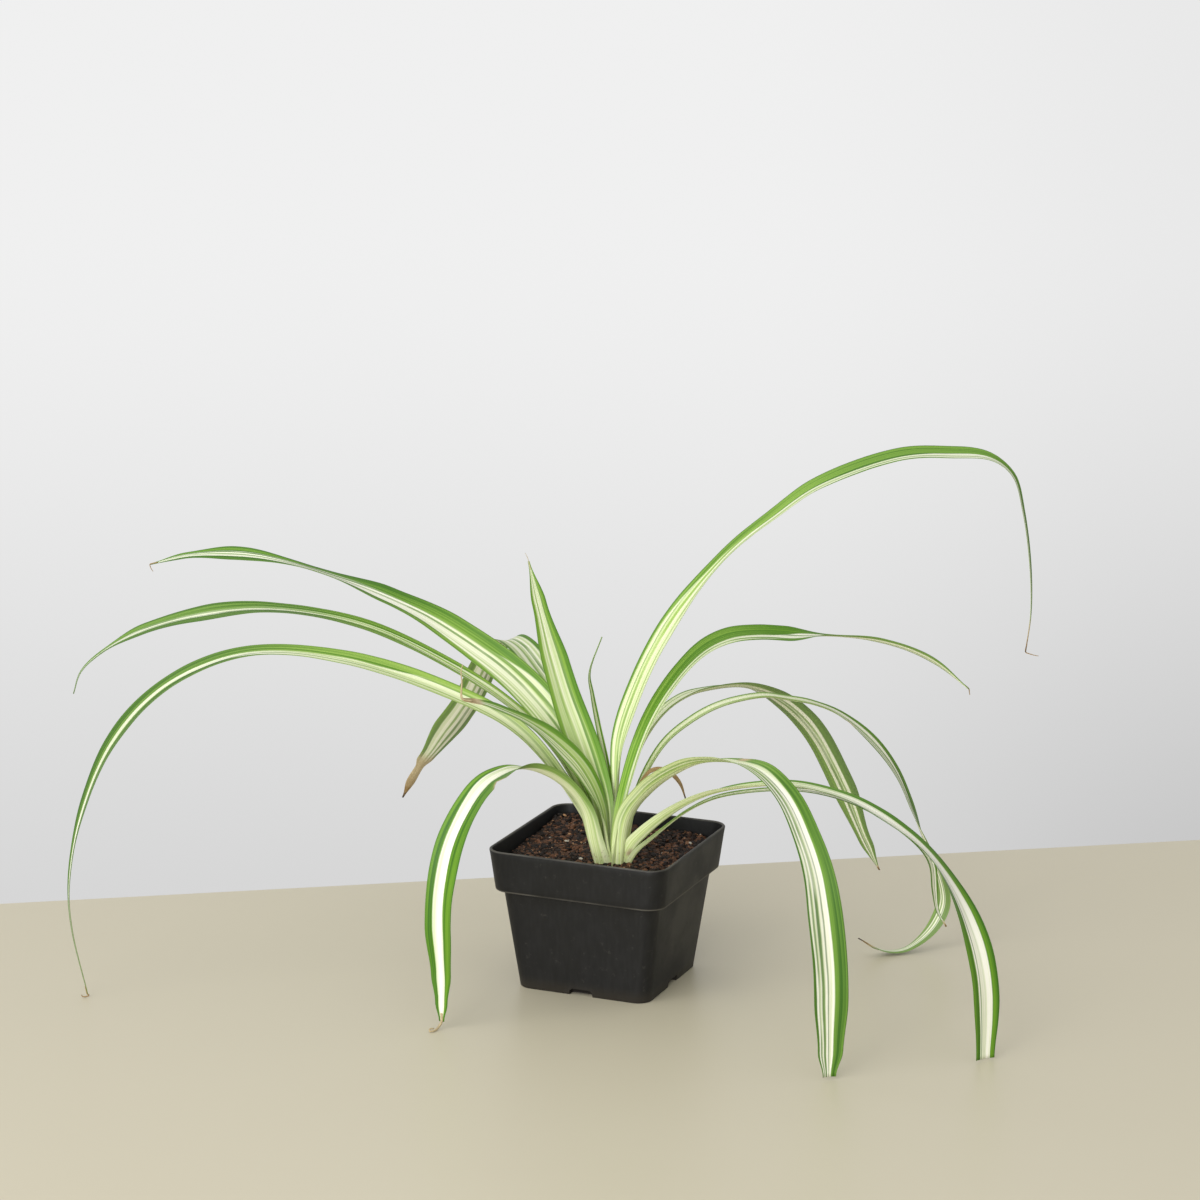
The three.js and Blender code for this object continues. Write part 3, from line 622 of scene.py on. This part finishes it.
def centripetal(stops, count):
    """count points of the smooth curve through the stops, denser where it turns sharply."""
    stops = [np.array(stop, float) for stop in stops]
    stops = [2 * stops[0] - stops[1], *stops, 2 * stops[-1] - stops[-2]]
    spans = len(stops) - 3
    points = []
    for i in range(count):
        where = spans * i / (count - 1)
        span = min(int(where), spans - 1)
        t = where - span
        before, start, end, after = stops[span:span + 4]
        pairs = ((before, start), (start, end), (end, after))
        g0, g1, g2 = [max(np.linalg.norm(b - a), 1e-9) ** 0.5 for a, b in pairs]
        leave = ((start - before) / g0 - (end - before) / (g0 + g1) + (end - start) / g1) * g1
        reach = ((end - start) / g1 - (after - start) / (g1 + g2) + (after - end) / g2) * g1
        points.append(start + leave * t + (3 * (end - start) - 2 * leave - reach) * t ** 2
                      + (2 * (start - end) + leave + reach) * t ** 3)
    return np.array(points)


def evenly(points, step):
    """The same line in steps of one length, and that line's whole length."""
    way = np.concatenate([[0], np.cumsum(np.linalg.norm(np.diff(points, axis=0), axis=1))])
    marks = np.linspace(0, way[-1], max(2, round(way[-1] / step) + 1))
    return np.stack([np.interp(marks, way, points[:, k]) for k in range(3)], -1), way[-1]


def leaf_axes(leaf):
    turn = math.radians(leaf["heading"])
    out = np.array([math.cos(turn), math.sin(turn), 0])
    left = np.array([-math.sin(turn), math.cos(turn), 0])
    return out, left


def leaf_stops(leaf, stops):
    """Stops given as [out, height, sideways], as points in millimetres."""
    out, left = leaf_axes(leaf)
    axis = np.array([*CROWN, 0], float)
    return [axis + out * s[0] + left * (s[2] if len(s) > 2 else 0) + np.array([0, 0, s[1]]) for s in stops]


def thread(points, start_radius, end_radius):
    """A thin five-sided thread along the points, narrowing to its end, as vertices and faces."""
    sides = 5
    vertices, faces = [], []
    for i, point in enumerate(points):
        forward = points[min(i + 1, len(points) - 1)] - points[max(i - 1, 0)]
        forward = forward / np.linalg.norm(forward)
        side = np.cross(forward, [0.3, 0.5, 0.8])
        side /= np.linalg.norm(side)
        up = np.cross(side, forward)
        size = start_radius + (end_radius - start_radius) * i / (len(points) - 1)
        for k in range(sides):
            angle = 2 * math.pi * k / sides
            vertices.append(point + size * (math.cos(angle) * side + math.sin(angle) * up))
    for i in range(len(points) - 1):
        for k in range(sides):
            a, b = i * sides + k, i * sides + (k + 1) % sides
            faces.append((a, a + sides, b + sides, b))
    faces.append(tuple(range(sides)))
    faces.append(tuple(reversed(range((len(points) - 1) * sides, len(points) * sides))))
    return vertices, faces


def bite(nicks, u, share, length):
    """How much of the half width is missing at one place of an edge, because of the nicks in it."""
    missing = 0
    for at, edge, long, deep in nicks:
        away = (share - at) * length / long
        if u * edge > 0 and abs(away) < 0.5:
            missing = max(missing, deep * math.cos(math.pi * away) ** 2)
    return missing


def dryness(look, u, share, length):
    """How withered one place of a blade is: 1 tan, 1.5 brown, 2 nearly black."""
    value = along(look.get("dry", [[0, 0]]), share)
    for at, across, long, deep in look.get("scars", []):
        away = math.hypot((share - at) * length / long, (u - across) / SCAR_WIDTH)
        value = max(value, deep * math.exp(-away * away))
    for at, edge, long, deep in look.get("nicks", []):
        away = math.hypot((share - at) * length / long, (u - edge) / NICK_BROWN)
        value = max(value, math.exp(-4 * away * away))
    return value


def make_leaf(name, leaf, look, material, seed):
    """One blade: a closed sheet, channelled along its keel, thin at its edges, with softly waved margins."""
    out, left = leaf_axes(leaf)
    foot = [leaf["foot"][0], LEAF_START, leaf["foot"][1]]
    spine, length = evenly(centripetal(leaf_stops(leaf, [foot, *leaf["spine"]]), SPINE_POINTS), ROW_STEP)
    rows = len(spine)
    ahead = np.gradient(spine, axis=0)
    ahead /= np.linalg.norm(ahead, axis=1)[:, None]
    upper, lower, blade, stripe, lines, state = [], [], [], [], [], []
    for row in range(rows):
        share = row / (rows - 1)
        way = share * length
        side = left - ahead[row] * left.dot(ahead[row])
        side /= np.linalg.norm(side)
        face = np.cross(ahead[row], side)
        roll = math.radians(along(leaf["roll"], share))
        rolled_side = side * math.cos(roll) + face * math.sin(roll)
        face = face * math.cos(roll) - side * math.sin(roll)
        side = rolled_side
        half = along(leaf["widths"], share) / 2
        fold = along(FOLD, share)
        power = along(ROUNDNESS, share)
        thick = min(along(THICKNESS, share), half)
        swing = WAVE * half * min(1, way / 60)
        from_u = along([entry[:2] for entry in look["stripe"]], share)
        to_u = along([entry[::2] for entry in look["stripe"]], share)
        lime = along(look.get("lime", LIME), share)
        for u in COLUMNS:
            wave = swing * noise.noise(Vector((way / 24, u * 0.7, seed * 3.7)))
            lift = 0.5 * swing * u * u * noise.noise(Vector((way / 13, 3 * np.sign(u), seed * 5.1)))
            reach = half * u * (1 + 0.05 * noise.noise(Vector((way / 30, np.sign(u), seed * 1.9))))
            reach *= 1 - bite(look.get("nicks", []), u, share, length)
            point = spine[row] + side * (reach + wave) + face * (half * fold * abs(u) ** power + lift)
            depth = thick
            if thick > EDGE_THICKNESS:
                depth = EDGE_THICKNESS + (thick - EDGE_THICKNESS) * (1 - u * u)
            upper.append(point)
            lower.append(point - face * depth)
            blade.append((u, way / 100, 1))
            stripe.append((from_u, to_u, lime))
            lines.append(look["lines"])
            state.append((dryness(look, u, share, length), seed, look.get("deep", 0)))
    count = len(COLUMNS)
    below = len(upper)
    faces = []
    for row in range(rows - 1):
        here = row * count
        following = here + count
        for i in range(count - 1):
            faces.append((here + i, following + i, following + i + 1, here + i + 1))
            a, b = below + here + i, below + following + i
            faces.append((a, a + 1, b + 1, b))
        faces.append((here, below + here, below + following, following))
        end = count - 1
        faces.append((here + end, following + end, below + following + end, below + here + end))
    faces.append((*range(count), *(below + i for i in reversed(range(count)))))
    last = (rows - 1) * count
    faces.append((*(last + i for i in reversed(range(count))), *(below + last + i for i in range(count))))
    points = [*upper, *lower]
    blade += [(u, way, 0) for u, way, _ in blade]
    stripe += stripe
    lines += lines
    state += state
    if "hair" in look:
        path = centripetal([spine[-3], spine[-1], *leaf_stops(leaf, look["hair"])], HAIR_POINTS)
        tube, tube_faces = thread(path, *look["hair_radius"])
        faces += [tuple(len(points) + i for i in f) for f in tube_faces]
        points += tube
        blade += [(0, length / 100, 1)] * len(tube)
        stripe += [(-1, 1, 0)] * len(tube)
        lines += [(2, 2, 2)] * len(tube)
        state += [(look.get("hair_dry", HAIR_DRYNESS), seed, 1)] * len(tube)
    made = object_from(name + "_blade", np.array(points) * MM, faces, material)
    for attribute, rows_of in (("blade", blade), ("stripe", stripe), ("lines", lines), ("look", state)):
        set_vectors(made, attribute, rows_of)
    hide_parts(name)
    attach(made, ROOT)
    return made


def rounded_square(width, radius, z):
    """Points round a square with round corners, counter-clockwise, at height z."""
    inset = width / 2 - radius
    quarter = []
    for i in range(CORNER_STEPS + 1):
        angle = math.pi / 2 * i / CORNER_STEPS
        quarter.append((inset + radius * math.cos(angle), inset + radius * math.sin(angle)))
    for i in range(1, SIDE_STEPS):
        quarter.append((inset - 2 * inset * i / SIDE_STEPS, width / 2))
    points = []
    for corner in range(4):
        turn = Matrix.Rotation(corner * math.pi / 2, 3, "Z")
        points += [turn @ Vector((x, y, z)) for x, y in quarter]
    return points


def rings_mesh(rings):
    """The rings' points, and faces between rings of equally many points, with the end rings closed."""
    count = len(rings[0])
    faces = []
    for r in range(len(rings) - 1):
        for i in range(count):
            a, b = r * count + i, r * count + (i + 1) % count
            faces.append((a, b, b + count, a + count))
    faces.append(tuple(reversed(range(count))))
    faces.append(tuple(range((len(rings) - 1) * count, len(rings) * count)))
    return [p for ring in rings for p in ring], faces


def pot_width(z):
    """The pot's outer width at a height."""
    if z < BAND_FOOT:
        return FOOT_WIDTH + (BODY_TOP_WIDTH - FOOT_WIDTH) * z / BAND_FOOT
    return BAND_FOOT_WIDTH + (POT_WIDTH - BAND_FOOT_WIDTH) * (z - BAND_FOOT) / BAND_HEIGHT


def make_pot(material):
    """The pot's shell: foot, tapered body, stepped band and rim outside, then down inside, slots cut."""
    def ring(z, inset, width, radius):
        return rounded_square(width - 2 * inset, max(radius - inset, 1 * MM), z)
    band = [BAND_FOOT + BAND_HEIGHT * i / 6 for i in range(1, 6)]
    body = [BAND_FOOT * i / 8 for i in range(1, 8)]
    rings = [
        ring(0.0, EASE, FOOT_WIDTH, BODY_CORNER),
        ring(0.35 * EASE, 0.3 * EASE, FOOT_WIDTH, BODY_CORNER),
        ring(EASE, 0, pot_width(EASE), BODY_CORNER),
    ]
    rings += [ring(z, 0, pot_width(z), BODY_CORNER) for z in body]
    rings += [
        ring(BAND_FOOT - 2 * EASE, 0, pot_width(BAND_FOOT - 2 * EASE), BODY_CORNER),
        ring(BAND_FOOT - 0.3 * EASE, 0, BODY_TOP_WIDTH + 0.6 * EASE, BODY_CORNER),
        ring(BAND_FOOT, 0, BODY_TOP_WIDTH + 2 * EASE, BODY_CORNER),
        ring(BAND_FOOT, 0, BAND_FOOT_WIDTH - 2 * EASE, RIM_CORNER),
        ring(BAND_FOOT + 0.3 * EASE, 0, BAND_FOOT_WIDTH - 0.5 * EASE, RIM_CORNER),
        ring(BAND_FOOT + EASE, 0, pot_width(BAND_FOOT + EASE), RIM_CORNER),
    ]
    rings += [ring(z, 0, pot_width(z), RIM_CORNER) for z in band]
    lip = WALL / 2
    for i in range(7):
        angle = math.pi * i / 6
        z = POT_HEIGHT - lip + lip * math.sin(angle)
        rings.append(ring(z, lip - lip * math.cos(angle), POT_WIDTH, RIM_CORNER))
    shelf = BAND_FOOT + WALL
    rings += [ring(z, WALL, pot_width(z), RIM_CORNER) for z in reversed([shelf, *band[1:]])]
    rings += [ring(shelf, WALL, BODY_TOP_WIDTH, BODY_CORNER)]
    rings += [ring(z, WALL, pot_width(z), BODY_CORNER) for z in reversed([WALL, *body])]
    points, faces = rings_mesh(rings)
    made = object_from("pot_shell", points, faces, material)
    for side in range(4):
        cutter = slot_cutter(side)
        cut = made.modifiers.new("slot", "BOOLEAN")
        cut.operation = "DIFFERENCE"
        cut.object = cutter
        cut.solver = "EXACT"
        bpy.context.view_layer.update()
        evaluated = made.evaluated_get(bpy.context.evaluated_depsgraph_get())
        made.data = bpy.data.meshes.new_from_object(evaluated)
        made.modifiers.clear()
        bpy.data.objects.remove(cutter)
    made.data.name = made.name
    smooth_by_angle(made, 35)
    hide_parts("pot")
    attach(made, ROOT)


def slot_cutter(side):
    """A box with eased upper edges, where a drain slot goes through the foot."""
    half, top = SLOT["width"] / 2, SLOT["height"]
    eased = 0.6 * top
    shorter = half - 0.4 * top
    profile = [(-half, -top), (half, -top), (half, eased), (shorter, top), (-shorter, top), (-half, eased)]
    turn = Matrix.Rotation(side * math.pi / 2, 3, "Z")
    rings = [[turn @ Vector((x, (FOOT_WIDTH + reach * SLOT["depth"]) / 2, z)) for x, z in profile]
             for reach in (1, -1)]
    points, faces = rings_mesh(rings)
    data = bpy.data.meshes.new("cutter")
    data.from_pydata([tuple(p) for p in points], [], faces)
    made = bpy.data.objects.new("cutter", data)
    bpy.context.scene.collection.objects.link(made)
    return made


def smooth_by_angle(made, degrees):
    """Smooth shading, but sharp where two faces meet at more than the angle."""
    made.data.shade_smooth()
    mesh = bmesh.new()
    mesh.from_mesh(made.data)
    for edge in mesh.edges:
        if len(edge.link_faces) == 2 and edge.calc_face_angle() > math.radians(degrees):
            edge.smooth = False
    mesh.to_mesh(made.data)
    mesh.free()


def soil_height(x, y):
    """The soil's height: tilted, with soft mounds and clods, slightly higher round the crown."""
    mound = noise.fractal(Vector((x * 38, y * 38, 4.2)), 1.0, 2.0, 3) * SOIL_RELIEF
    clods = noise.fractal(Vector((x * 260, y * 260, 1.7)), 0.9, 2.1, 3) * 0.55 * MM
    near = math.hypot(x - CROWN[0] * MM, y - CROWN[1] * MM)
    raised = SOIL_MOUND * math.exp(-(near / SOIL_MOUND_REACH) ** 2)
    return SOIL_TOP + SOIL_SLOPE * (y - x) + mound + clods + raised


def make_soil_bed(material):
    gap = WALL + 0.15 * MM
    shelf = BAND_FOOT + WALL + 0.3 * MM
    rings = [
        rounded_square(pot_width(gap) - 2 * gap, BODY_CORNER - gap, gap),
        rounded_square(BODY_TOP_WIDTH - 2 * gap, BODY_CORNER - gap, shelf),
        rounded_square(pot_width(shelf) - 2 * gap, RIM_CORNER - gap, shelf),
    ]
    lowest = SOIL_TOP - SOIL_RELIEF - SOIL_SLOPE * POT_WIDTH
    top_width = pot_width(lowest) - 2 * gap
    for i in range(SOIL_RINGS):
        share = 1 - i / SOIL_RINGS
        ring = rounded_square(top_width * share, (RIM_CORNER - gap) * share, SOIL_TOP)
        for p in ring:
            p.z = soil_height(p.x, p.y)
        rings.append(ring)
    points, faces = rings_mesh(rings)
    made = object_from("soil_bed", points, faces, material)
    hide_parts("soil")
    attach(made, ROOT)


def unit_stones():
    """A few irregular stones of unit size, as vertices and faces."""
    stones = []
    for _ in range(STONE_KINDS):
        mesh = bmesh.new()
        bmesh.ops.create_icosphere(mesh, subdivisions=1, radius=1.0)
        for v in mesh.verts:
            v.co *= 1 + random.uniform(-STONE_ROUGHNESS, STONE_ROUGHNESS)
        triangles = [[v.index for v in f.verts] for f in mesh.faces]
        stones.append(([v.co.copy() for v in mesh.verts], triangles))
        mesh.free()
    return stones


def scatter(name, count, sizes, stretch, material, sink):
    """Many small pieces strewn over the soil, sunk partly into it, joined in one mesh."""
    stones = unit_stones()
    points, faces, tones = [], [], []
    limit = pot_width(SOIL_TOP) / 2 - WALL - 0.4 * MM
    placed = 0
    while placed < count:
        size = random.uniform(*sizes) * random.choice((0.6, 0.8, 1.0, 1.0)) * MM
        shape = [random.uniform(*stretch), random.uniform(*stretch), random.uniform(*FLATNESS)]
        shape = Vector(shape) * size
        room = limit - max(shape)
        x, y = random.uniform(-room, room), random.uniform(-room, room)
        corner = math.hypot(max(abs(x) - room + BED_CORNER, 0), max(abs(y) - room + BED_CORNER, 0))
        near = math.hypot(x - CROWN[0] * MM, y - CROWN[1] * MM)
        if corner > BED_CORNER or near < CROWN_CLEARANCE:
            continue
        spin = (Matrix.Rotation(random.uniform(0, 2 * math.pi), 3, "Z")
                @ Matrix.Rotation(random.uniform(-0.7, 0.7), 3, "X"))
        middle = Vector((x, y, soil_height(x, y) + shape.z * (1 - 2 * sink)))
        vertices, triangles = stones[placed % len(stones)]
        start = len(points)
        points += [middle + spin @ Vector((v.x * shape.x, v.y * shape.y, v.z * shape.z)) for v in vertices]
        faces += [tuple(start + i for i in t) for t in triangles]
        tones += [(random.random() ** 2.2, 0, 0)] * len(vertices)
        placed += 1
    made = object_from(name, points, faces, material, smooth=False)
    set_vectors(made, "tone", tones)
    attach(made, ROOT)


def make_crown(material):
    """The short stem below the leaf bases, with its fleshy roots in the soil."""
    rings = []
    profile = [(4, CROWN_FOOT), (7.5, CROWN_FOOT + 1.5), (CROWN_RADIUS, 56), (CROWN_RADIUS, 62),
               (6.5, CROWN_TOP - 1), (3, CROWN_TOP)]
    for radius, z in profile:
        ring = []
        for k in range(CROWN_SIDES):
            angle = 2 * math.pi * k / CROWN_SIDES
            wobble = 1 + 0.06 * noise.noise(Vector((2 * math.cos(angle), 2 * math.sin(angle), z / 6)))
            ring.append(Vector((CROWN[0] + radius * wobble * math.cos(angle),
                                CROWN[1] + radius * wobble * math.sin(angle), z)) * MM)
        rings.append(ring)
    points, faces = rings_mesh(rings)
    for i in range(ROOTS):
        heading = math.radians(60 * i)
        reach, low = (15, 14) if i % 2 == 0 else (9, 22)
        way = [(5, CROWN_FOOT + 4), (13, CROWN_FOOT - 2), (reach, 34), (reach - 1, low + 8), (reach, low)]
        east, north = math.cos(heading), math.sin(heading)
        stops = [np.array([CROWN[0] + r * east, CROWN[1] + r * north, z]) for r, z in way]
        tube, tube_faces = thread(centripetal(stops, 18), 2.6, 1.0)
        faces += [tuple(len(points) + k for k in f) for f in tube_faces]
        points += [Vector(p) * MM for p in tube]
    made = object_from("crown_stem", points, faces, material)
    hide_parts("crown")
    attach(made, ROOT)


def make_table(material):
    (x0, y0), (x1, y1) = TABLE_EDGE
    edge = Vector((x1 - x0, y1 - y0, 0)).normalized()
    nearer = Vector((edge.y, -edge.x, 0))
    middle = Vector(((x0 + x1) / 2, (y0 + y1) / 2, 0))
    corners = [middle - edge * TABLE_REACH, middle + edge * TABLE_REACH]
    corners += [corners[1] + nearer * TABLE_REACH, corners[0] + nearer * TABLE_REACH]
    down = Vector((0, 0, -TABLE_THICKNESS))
    points = [*corners, *(c + down for c in corners)]
    faces = [(3, 2, 1, 0), (4, 5, 6, 7), (0, 1, 5, 4), (1, 2, 6, 5), (2, 3, 7, 6), (3, 0, 4, 7)]
    made = object_from("table_top", points, faces, material, smooth=False)


def add_camera():
    data = bpy.data.cameras.new("camera")
    data.lens = CAMERA_LENS
    data.sensor_width = CAMERA_SENSOR
    made = bpy.data.objects.new("camera", data)
    turn = (Matrix.Rotation(CAMERA_YAW, 4, "Z") @ Matrix.Rotation(math.pi / 2 + CAMERA_PITCH, 4, "X")
            @ Matrix.Rotation(CAMERA_ROLL, 4, "Z"))
    made.matrix_world = Matrix.Translation(CAMERA_AT) @ turn
    bpy.context.scene.collection.objects.link(made)
    bpy.context.scene.camera = made


def add_area(name, place, target, size, power, color):
    data = bpy.data.lights.new(name, "AREA")
    data.shape = "DISK"
    data.size = size
    data.energy = power
    data.color = color
    made = bpy.data.objects.new(name, data)
    made.location = place
    made.rotation_euler = (Vector(target) - Vector(place)).to_track_quat("-Z", "Y").to_euler()
    bpy.context.scene.collection.objects.link(made)


def add_world():
    """A pale studio: a light wall that darkens downwards and to the right, and a room round it, dimmer on
    the camera's side and to the right and brighter overhead."""
    world = bpy.data.worlds.new("studio")
    bpy.context.scene.world = world
    world.use_nodes = True
    g = Graph("studio", world.node_tree)
    x, y, z = g.parts(g.tree.nodes.new("ShaderNodeTexCoord").outputs["Generated"])
    turned, straight = math.sin(CAMERA_YAW), math.cos(CAMERA_YAW)
    right = g.plus(g.times(x, straight), g.times(y, turned))
    far = g.minus(g.times(y, straight), g.times(x, turned))
    wall = g.step(z, *WALL_HEIGHTS, *WALL_LEVELS)
    side = g.step(z, *WALL_HEIGHTS, *WALL_RIGHT_LEVELS)
    shift = g.minus(side, wall)
    wall = g.plus(wall, g.times(shift, g.step(right, 0.03, 0.19)))
    room = g.times(g.step(far, -0.7, 0.6, *ROOM_LEVELS), g.step(right, -0.4, 0.8, 1.0, 0.75))
    room = g.times(room, g.step(z, 0.1, 0.9, 0.85, 1.2))
    level = g.plus(wall, g.times(g.minus(room, wall), g.step(z, 0.0, 0.35)))
    level = g.plus(level, g.times(g.minus(room, level), g.step(far, 0.3, 0.8, 1.0, 0.0)))
    background = g.tree.nodes["Background"]
    g.put(background.inputs["Color"], g.vector(level, level, level))
    background.inputs["Strength"].default_value = 1.0


def dress():
    random.seed(RANDOM_SEED)
    blade = leaf_material()
    for seed, (name, leaf) in enumerate(LEAVES.items()):
        make_leaf(name, leaf, LOOKS[name], blade, seed + 1)
    make_pot(pot_material())
    make_soil_bed(earth_material("soil_bed", srgb(18, 12, 9), srgb(44, 30, 22), 420.0))
    for name, count, sizes, stretch, sink, dark, light, scale in LOOSE_PIECES:
        material = earth_material(name, srgb(*dark), srgb(*light), scale)
        scatter(name, count, sizes, stretch, material, sink)
    make_crown(crown_material())
    make_table(table_material())


bpy.context.scene.view_settings.view_transform = "Standard"
add_camera()
add_world()
for light in LIGHTS:
    add_area(*light)
dress()
